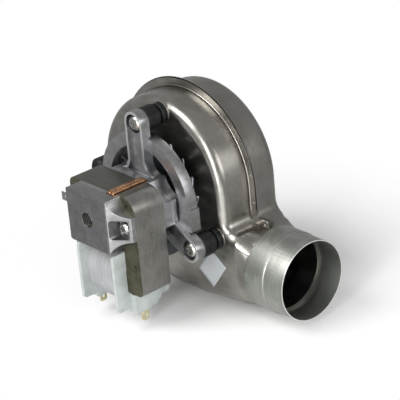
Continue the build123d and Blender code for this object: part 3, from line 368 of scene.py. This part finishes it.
def lamination_steel():
    """A pack of thin sheets with an oiled front, a darker top and painted shade in a few punched marks."""
    pack = Finish("lamination_steel")
    sheets = (pack.y * (math.tau / LAMINATION)).sine() * 0.5 + 0.5
    spread = pack.noise(0.5, 2.0, stretch=(0.15, 2.5, 0.15))
    stain = pack.noise(0.09, 4.0, distortion=0.7)
    grain = pack.noise(1.3, 3.0)
    tone = sheets * 0.15 + spread * 0.35 + grain * 0.5
    dark = pack.blend(stain.between(0.3, 0.7), (0.115, 0.112, 0.100), (0.185, 0.182, 0.168))
    side = pack.blend(tone.between(0.25, 0.75), dark, (0.29, 0.285, 0.268))
    oiled = pack.blend(stain.between(0.3, 0.7), (0.085, 0.080, 0.050), (0.15, 0.143, 0.100))
    front = pack.y < STACK_FRONT
    top = (pack.z > STACK_TOP) * 0.5
    colour = pack.blend(front, pack.blend(top, side, (0.050, 0.050, 0.036)), oiled)
    # Each punched mark is a near-black spot of painted shade in its hollow, on the front sheet only.
    for across, level, radius in PUNCH_MARK_SHADE:
        away = ((pack.x - across) ** 2.0 + (pack.z - level) ** 2.0) ** 0.5
        colour = pack.blend((away < radius) * front, colour, (0.012, 0.012, 0.010))
    rough = 0.34 + stain * 0.2
    relief = pack.bump(sheets * 0.3 + spread * 0.3 + grain * 0.4, 0.02)
    return pack.surface(base_color=colour, metallic=0.9, roughness=rough, normal=relief)


keep_finish("lamination_steel", lamination_steel())

# %% [markdown]
# ## The coil's tape
# The coil is bound in white cloth tape, wound in overlapping turns. Each overlap is a soft dark line,
# a little uneven, and the cloth's thread is a fine comb that shows only as relief.

# %% Make the tape's finish
TAPE_LAP = 4.2
TAPE_THREAD = 0.8


def coil_tape():
    """White cloth-backed tape, wound in overlapping turns with a thread that shows."""
    made = Finish("white_tape")
    lap = (made.x * (math.tau / TAPE_LAP) + made.noise(0.03, 1.0) * 2.0).sine().between(0.86, 0.99)
    thread = (made.x * (math.tau / TAPE_THREAD)).sine() * 0.5 + 0.5
    cloud = made.noise(0.07, 2.0, distortion=0.3)
    colour = made.blend(cloud.between(0.3, 0.7), (0.31, 0.315, 0.32), (0.38, 0.385, 0.39))
    shaded = made.blend(lap * 0.45, colour, (0.20, 0.195, 0.215))
    relief = made.bump(thread * 0.4 - lap * 0.6, 0.05, 0.6)
    return made.surface(base_color=shaded, roughness=0.5 + cloud * 0.1, normal=relief)


keep_finish("white_tape", coil_tape())

# %% [markdown]
# ## Plain metals
# The other materials share one builder: a base colour that wanders a little, a roughness that wanders
# with it, and a fine grain. Screws and nuts are zinc plated, the shaft is ground and painted dark, as
# painted shade where its end sits deep in the bearing's hole, the wheels are bright aluminium sheet,
# the pole rings and the winding are copper, the blades are tinned brass and the bushes are pressed
# bronze, also darkened as painted shade in that hole. Only their tones and numbers differ.


# %% Make the plain metals
def plain(name, low, high, rough, metallic=0.0, cloud_scale=0.3, grain_scale=3.0, relief=0.02, **sockets):
    """A finish whose colour runs between two tones, with a fine grain of a given height."""
    made = Finish(name)
    cloud = made.noise(cloud_scale, 3.0, distortion=0.5)
    fine = made.noise(grain_scale, 3.0)
    colour = made.blend(cloud.between(0.3, 0.7), low, high)
    texture = made.bump(fine, relief)
    roughness = cloud * 0.12 + fine * 0.06 + (rough - 0.09)
    made.surface(base_color=colour, metallic=metallic, roughness=roughness, normal=texture, **sockets)
    keep_finish(name, made.material)


plain(
    "zinc_steel", (0.34, 0.34, 0.32), (0.48, 0.475, 0.45),
    rough=0.27, metallic=1.0, cloud_scale=0.4, relief=0.002,
)
# The shaft is painted nearly black, as painted shade where its end sits in the bearing's hole.
plain("shaft_steel", (0.05, 0.05, 0.052), (0.10, 0.10, 0.10), rough=0.30, metallic=1.0, relief=0.002)
plain(
    "wheel_aluminium", (0.34, 0.37, 0.41), (0.46, 0.49, 0.54),
    rough=0.30, metallic=1.0, cloud_scale=0.1, grain_scale=2.0, relief=0.003,
)
plain(
    "copper", (0.40, 0.20, 0.10), (0.62, 0.35, 0.20),
    rough=0.26, metallic=1.0, cloud_scale=0.25, grain_scale=2.0,
)
plain("copper_wire", (0.50, 0.22, 0.09), (0.66, 0.33, 0.15), rough=0.32, metallic=1.0, grain_scale=2.0)
plain(
    "tinned_brass", (0.58, 0.54, 0.33), (0.74, 0.70, 0.48),
    rough=0.34, metallic=0.8, cloud_scale=0.5, relief=0.006,
)
# The bronze is painted dark, as painted shade in the bearing's hole.
plain("sintered_bronze", (0.13, 0.11, 0.085), (0.20, 0.175, 0.14), rough=0.42, metallic=1.0)

# %% [markdown]
# ## Nylon, felt and rubber
# The bobbin's white nylon is milky and faintly green. The oil felts are rough and brown, and the
# mounts' rubber is nearly black, with its mirror strength turned down so that the lamps don't turn
# it grey. The same builder makes all three.

# %% Make the soft materials
plain(
    "white_nylon", (0.375, 0.41, 0.395), (0.455, 0.49, 0.475),
    rough=0.42, cloud_scale=0.1, grain_scale=1.5, relief=0.01,
)
plain("felt", (0.40, 0.35, 0.27), (0.54, 0.49, 0.40), rough=0.9, cloud_scale=0.4, grain_scale=2.0, relief=0.1)
plain(
    "black_rubber", (0.006, 0.006, 0.007), (0.013, 0.013, 0.014),
    rough=0.46, grain_scale=2.5, specular_ior_level=0.22,
)

# %% [markdown]
# ## The finishes on the solids
# Each solid's record names its material, and the finish with the same name goes on it. The earth
# blade looks plated like the screws, so it takes their zinc.

# %% Put the finishes on the solids
for entry in frame["record"]["subparts"]:
    solid = nodes[entry["node"]]
    solid.data.materials.clear()
    solid.data.materials.append(finishes[entry["material_slot"]])
nodes["earth_tab"].data.materials[0] = finishes["zinc_steel"]

# %% [markdown]
# ## Smooth shading for the exact solids
# The solids arrive as loose triangles. Welding their corners and splitting them again at the sharp
# edges shades the drawn curves as one surface. Castings, plastic, screw heads and cut metal have no
# knife edges, so theirs are first cleared of the flat triangles' lines and then rounded by a few
# tenths of a millimetre.

# %% Shade the solids
WELD_GAP = 1e-6
SHARP_ANGLE = math.radians(32)
ROUNDED = {
    "rear_bracket": 0.45,
    "front_bracket": 0.45,
    "bobbin": 0.3,
    "stator_frame": 0.15,
    "shading_rings": 0.9,
    "mount_screws": 0.25,
    "bracket_screws": 0.2,
    "outlet_collar": 0.12,
    "terminals": 0.1,
}


def smooth_faces(data):
    """Shades all faces of a mesh smooth."""
    data.polygons.foreach_set("use_smooth", [True] * len(data.polygons))


def split_edges(piece):
    """Splits a piece at its sharp edges, which keeps them crisp."""
    split = piece.modifiers.new("split", "EDGE_SPLIT")
    split.split_angle = SHARP_ANGLE


def round_edges(piece, width):
    """Clears the lines between flat triangles and rounds the edges by a width in millimetres."""
    clear = piece.modifiers.new("clear", "DECIMATE")
    clear.decimate_type = "DISSOLVE"
    clear.angle_limit = math.radians(0.6)
    bevel = piece.modifiers.new("bevel", "BEVEL")
    bevel.width = width * MM
    bevel.segments = 3
    bevel.limit_method = "ANGLE"
    bevel.angle_limit = math.radians(35)
    bevel.harden_normals = True


for name, solid in nodes.items():
    weld = solid.modifiers.new("weld", "WELD")
    weld.merge_threshold = WELD_GAP
    if name in ROUNDED:
        round_edges(solid, ROUNDED[name])
    else:
        split_edges(solid)
    smooth_faces(solid.data)
print("rounded solids:", len(ROUNDED), "split solids:", len(nodes) - len(ROUNDED))

# %% [markdown]
# ## The neck's soft corner
# The press can't draw a tight corner where the spiral's wall turns into the neck, so the sheet sweeps
# round there. A copy of the rear shell replaces the exact one. The points near that corner, on both
# faces of the sheet, are drawn toward their neighbours again and again, which rounds the corner and
# leaves the rest as it was.

# %% Soften the rear shell's neck
CORNER = Vector((75.5, -2.0, -24.0))
CORNER_REACH = 14.0
SOFTENING_ROUNDS = 36


def place_piece(name, mesh, slot):
    """Turns a bmesh in metres into a smooth object that rides on the housing."""
    data = bpy.data.meshes.new(name)
    mesh.to_mesh(data)
    mesh.free()
    smooth_faces(data)
    made = bpy.data.objects.new(name, data)
    bpy.context.scene.collection.objects.link(made)
    data.materials.append(finishes[slot])
    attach(made, "housing")
    return made


soft_shell = bmesh.new()
soft_shell.from_mesh(nodes["rear_shell"].data)
bmesh.ops.remove_doubles(soft_shell, verts=soft_shell.verts, dist=WELD_GAP)
near_corner = [vert for vert in soft_shell.verts if (vert.co / MM - CORNER).length < CORNER_REACH]
for _ in range(SOFTENING_ROUNDS):
    bmesh.ops.smooth_vert(
        soft_shell, verts=near_corner, factor=0.5, use_axis_x=True, use_axis_y=True, use_axis_z=True
    )
rear_shell_soft = place_piece("rear_shell_soft", soft_shell, "scroll_steel")
split_edges(rear_shell_soft)
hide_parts("rear_shell")
print("points drawn in:", len(near_corner))

# %% [markdown]
# ## The path of the seam
# The rear shell's flange is folded over the front one, and strips of round section run along that
# seam. A section is one arc of edges. It follows the scroll the way the scroll is drawn: straight up
# from the tongue, three quarter turns of growing radius, and the straight run to the neck. The strip
# is drawn in millimetres, so it is cleaned and scaled before it becomes a piece.

# %% Define a strip along the seam
SPIRAL = 58.6
STEP = 7.5
STRIP_FOOT = -13.5
NECK_START = 76.8
ARC_STEPS = 8
QUARTER_STEPS = 48
MERGE_GAP = 1e-4


def new_piece(name, mesh, slot):
    """Cleans a bmesh in millimetres and turns it into a piece."""
    bmesh.ops.remove_doubles(mesh, verts=mesh.verts, dist=MERGE_GAP)
    bmesh.ops.recalc_face_normals(mesh, faces=mesh.faces)
    bmesh.ops.scale(mesh, vec=(MM, MM, MM), verts=mesh.verts)
    return place_piece(name, mesh, slot)


def only(items, kind):
    """The points or the edges among new geometry."""
    return [item for item in items if isinstance(item, kind)]


def arc_section(mesh, depth, radius, start, stop):
    """A row of edges on an arc square to X, round a centre at a depth, between two angles."""
    angle = math.radians(start)
    first = (0, depth + radius * math.cos(angle), radius * math.sin(angle))
    point = bmesh.ops.create_vert(mesh, co=first)["vert"]
    sweep = math.radians(stop - start)
    bmesh.ops.spin(mesh, geom=point, cent=(0, depth, 0), axis=(1, 0, 0), angle=sweep, steps=ARC_STEPS)
    return list(mesh.edges)


def pull(mesh, edges, vector):
    """Draws a row of edges out in a straight line and returns the new row."""
    made = bmesh.ops.extrude_edge_only(mesh, edges=edges)["geom"]
    bmesh.ops.translate(mesh, vec=vector, verts=only(made, bmesh.types.BMVert))
    return only(made, bmesh.types.BMEdge)


def swing(mesh, edges, across, level):
    """Turns a row of edges by a quarter round a centre in the seam's plane and returns the new row."""
    made = bmesh.ops.spin(
        mesh, geom=edges, cent=(across, 0, level), axis=(0, 1, 0), angle=-math.pi / 2, steps=QUARTER_STEPS
    )
    return only(made["geom_last"], bmesh.types.BMEdge)


def scroll_strip(name, outset, depth, radius, start, stop):
    """A strip of round section that follows the seam, with its centre at an outset and a depth."""
    mesh = bmesh.new()
    edges = arc_section(mesh, depth, radius, start, stop)
    quarter = Matrix.Rotation(math.pi / 2, 3, "Y")
    bmesh.ops.rotate(mesh, cent=(0, depth, 0), matrix=quarter, verts=mesh.verts)
    bmesh.ops.translate(mesh, vec=(SPIRAL + outset, 0, STRIP_FOOT), verts=mesh.verts)
    half = STEP / 2
    edges = pull(mesh, edges, (0, 0, half - STRIP_FOOT))
    for across, level in ((-half, half), (-half, -half), (half, -half)):
        edges = swing(mesh, edges, across, level)
    pull(mesh, edges, (NECK_START - half, 0, 0))
    return new_piece(name, mesh, "scroll_steel")


print("quarter turns' radii:", [SPIRAL + STEP * (turns + 0.5) for turns in range(3)])

# %% [markdown]
# ## The rounded hem
# A folded sheet has a round outer edge that catches the light as a thin line, so a half-round strip
# runs along the flange. A second strip fills the inner corner, where the drawn sheet bends into the
# flange, and a third rounds the lip of the fold on the front.

# %% Bend the hem round the scroll
FLANGE = 6.3
SHEET = 0.8
hem = scroll_strip("hem_round", FLANGE - 1.0, SEAM_Y - SHEET / 2, radius=1.62, start=-105, stop=105)
root = scroll_strip("seam_root", 1.1, SEAM_Y - SHEET - 1.1, radius=1.15, start=-90, stop=0)
lip = scroll_strip("hem_lip", 2.0, SEAM_Y - 1.5 * SHEET, radius=0.46, start=180, stop=360)
print("faces of the hem, the root and the lip:", [len(strip.data.polygons) for strip in (hem, root, lip)])

# %% [markdown]
# ## Small marks on the sheet metal
# The hem is locked by two press points that stand out of its front as small bumps, and the tab at
# the tongue has three more. Each is a flattened ball, sunk to its middle in the sheet.

# %% Press the small bumps
BUMP_RADIUS = 1.1
BUMP_FLATNESS = 0.55
BUMPS = ((61.9, 14.4), (62.8, -6.8), (70.1, -18.6), (75.6, -18.6), (72.9, -21.6))
flatten = Matrix.Diagonal((1.0, BUMP_FLATNESS, 1.0, 1.0))
bump_mesh = bmesh.new()
for across, level in BUMPS:
    spot = Matrix.Translation((across, SEAM_Y - 2 * SHEET, level))
    bmesh.ops.create_uvsphere(
        bump_mesh, u_segments=20, v_segments=12, radius=BUMP_RADIUS, matrix=spot @ flatten
    )
new_piece("press_points", bump_mesh, "scroll_steel")
print("press points:", len(BUMPS))

# %% [markdown]
# ## The grommets' lips
# Each rubber grommet swells up round its screw's head and fills the end of the arm. A lip is a circle
# spun once round the screw, which gives a ring of round section. The circle is first stretched along
# the screw.

# %% Swell the grommets' lips
GROMMET_RADIUS = 7.4
LIP_RADIUS = 6.45
LIP_ROUND = 0.66
LIP_STRETCH = 1.7
LIP_RISE = 0.7
grommet_low, grommet_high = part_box("mount_grommets")
screw_circle = grommet_high.z / MM - GROMMET_RADIUS
lip_level = grommet_low.y / MM - LIP_RISE
stretch = Matrix.Diagonal((1, LIP_STRETCH, 1, 1))
lips = bmesh.new()
for degrees in (90, 210, 330):
    angle = math.radians(degrees)
    centre = (screw_circle * math.cos(angle), lip_level, screw_circle * math.sin(angle))
    spot = Matrix.Translation(Vector(centre) + Vector((LIP_RADIUS, 0, 0)))
    made = bmesh.ops.create_circle(lips, segments=12, radius=LIP_ROUND, matrix=spot @ stretch)
    loop = list({edge for vert in made["verts"] for edge in vert.link_edges})
    bmesh.ops.spin(
        lips, geom=loop + made["verts"], cent=centre, axis=(0, 1, 0), angle=math.tau, steps=40, use_merge=True
    )
new_piece("grommet_lips", lips, "black_rubber")
print("screw circle's radius:", round(screw_circle, 2))

# %% [markdown]
# ## The label's paper
# A paper label sits on the flat front of the scroll, on its corner. Only its bare paper is made. The
# paper's finish has a faint frame near the edges and a slight waviness, measured from the label's
# own middle and along its own sides.

# %% Make the label's finish
LABEL_SPOT = (42.0, -54.7)
LABEL_HALF = (9.4, 12.8)
LABEL_ANGLE = math.radians(-37.0)


def label_paper():
    """Matte coated paper with a faint frame and a slight waviness."""
    made = Finish("label_paper")
    across = made.x - LABEL_SPOT[0]
    level = made.z - LABEL_SPOT[1]
    along = across * math.cos(LABEL_ANGLE) + level * math.sin(LABEL_ANGLE)
    up = level * math.cos(LABEL_ANGLE) - across * math.sin(LABEL_ANGLE)
    wave = made.noise(0.12, 2.0)
    fibre = made.noise(3.0, 3.0)
    near_side = (along.size() * (1.0 / LABEL_HALF[0])).between(0.80, 0.82)
    near_end = (up.size() * (1.0 / LABEL_HALF[1])).between(0.84, 0.86)
    paper = made.blend(wave, (0.39, 0.41, 0.425), (0.45, 0.47, 0.485))
    framed = made.blend((near_side + near_end).between(0.5, 1.0) * 0.12, paper, (0.22, 0.235, 0.255))
    relief = made.bump(wave * 0.8 + fibre * 0.2, 0.12, 0.5)
    return made.surface(base_color=framed, roughness=0.38 + fibre * 0.15, normal=relief)


keep_finish("label_paper", label_paper())

# %% [markdown]
# ## The label's place
# The sheet is a flat grid that is stood up, turned in the plane of the scroll's front and moved to
# its spot. A Solidify modifier gives it the thickness of paper.

# %% Lay the label
FRONT_FACE = -56.0
PAPER = 0.12
stand_up = Matrix.Rotation(math.pi / 2, 3, "X")
turn_label = Matrix.Rotation(-LABEL_ANGLE, 3, "Y")
label_mesh = bmesh.new()
bmesh.ops.create_grid(label_mesh, x_segments=8, y_segments=10, size=1.0)
bmesh.ops.scale(label_mesh, vec=(*LABEL_HALF, 1.0), verts=label_mesh.verts)
bmesh.ops.rotate(label_mesh, cent=(0, 0, 0), matrix=stand_up, verts=label_mesh.verts)
bmesh.ops.rotate(label_mesh, cent=(0, 0, 0), matrix=turn_label, verts=label_mesh.verts)
bmesh.ops.translate(label_mesh, vec=(LABEL_SPOT[0], FRONT_FACE, LABEL_SPOT[1]), verts=label_mesh.verts)
label = new_piece("label_place", label_mesh, "white_tape")
label.data.materials[0] = finishes["label_paper"]
paper_edge = label.modifiers.new("thickness", "SOLIDIFY")
paper_edge.thickness = PAPER * MM
print("label's middle:", LABEL_SPOT, "sides:", [2 * half_side for half_side in LABEL_HALF])

# %% [markdown]
# ## Lamps
# One large soft box stands above and in front on the left, with a narrow upright strip in front, a
# broad fill on the right and a faint low box at the table's level. The strip draws the long bright
# lines on the scroll's shoulder.


# %% Light the studio
def soft_box(name, place, target, size, power):
    """A rectangular lamp that faces a point."""
    data = bpy.data.lights.new(name, "AREA")
    data.shape = "RECTANGLE"
    data.size, data.size_y = size
    data.energy = power
    lamp = bpy.data.objects.new(name, data)
    lamp.location = place
    lamp.rotation_mode = "QUATERNION"
    lamp.rotation_quaternion = (Vector(place) - Vector(target)).to_track_quat("Z", "Y")
    bpy.context.scene.collection.objects.link(lamp)


soft_box("key", (-0.25, -0.9, 1.1), (0, -0.05, 0), (0.7, 0.7), power=14.0)
soft_box("strip", (0.42, -0.78, 0.20), (0.03, -0.06, 0), (0.14, 0.70), power=5.0)
soft_box("right", (1.3, 0.25, 0.45), (0, -0.05, 0), (0.9, 0.5), power=5.0)
soft_box("table", (0.46, -0.55, -0.30), (0.03, -0.06, -0.02), (0.6, 0.5), power=1.3)
print("lamps:", [lamp.name for lamp in bpy.data.lights])

# %% [markdown]
# ## Surroundings
# The camera sees the surroundings as plain white. Everything else, the polished metal too, meets
# them at less than half that strength, so that the steel keeps its tones. Light Path tells the two
# kinds of rays apart.

# %% Whiten the surroundings
WORLD_LIGHT = 0.45
world = bpy.data.worlds.new("studio")
bpy.context.scene.world = world
world.use_nodes = True
sky = Nodes(world.node_tree)
background = world.node_tree.nodes["Background"]
camera_ray = sky.node("ShaderNodeLightPath")["Is Camera Ray"]
strength = sky.node("ShaderNodeMapRange", {}, {"Value": camera_ray, "To Min": WORLD_LIGHT, "To Max": 1.0})[0]
sky.feed(background.inputs["Color"], (1.0, 1.0, 1.0))
sky.feed(background.inputs["Strength"], strength)
print("light of the surroundings:", WORLD_LIGHT)

# %% [markdown]
# ## The floor
# A pale floor lies just under the lowest point and keeps the fan's shadow. Its paint fades out with
# the distance from the fan, and the white surroundings take over.

# %% Lay the floor
FLOOR_HALF = 6.0
FLOOR_GAP = 0.0005
FADE_START = 90.0
FADE_END = 240.0


def floor_paint():
    """Pale matte paint that fades out round the fan."""
    paint = Finish("floor_paint")
    away = paint.node("ShaderNodeVectorMath", {"operation": "LENGTH"}, {0: paint.place})["Value"]
    cover = 1.0 - away.between(FADE_START, FADE_END)
    return paint.surface(base_color=(0.92, 0.92, 0.92), roughness=0.8, alpha=cover)


floor_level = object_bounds()[0].z - FLOOR_GAP
floor_mesh = bmesh.new()
bmesh.ops.create_grid(floor_mesh, x_segments=1, y_segments=1, size=FLOOR_HALF)
bmesh.ops.translate(floor_mesh, vec=(0, 0, floor_level), verts=floor_mesh.verts)
floor_data = bpy.data.meshes.new("floor")
floor_mesh.to_mesh(floor_data)
floor_mesh.free()
floor_data.materials.append(floor_paint())
floor = bpy.data.objects.new("floor", floor_data)
bpy.context.scene.collection.objects.link(floor)
print("floor's level in metres:", round(floor_level, 4))

# %% [markdown]
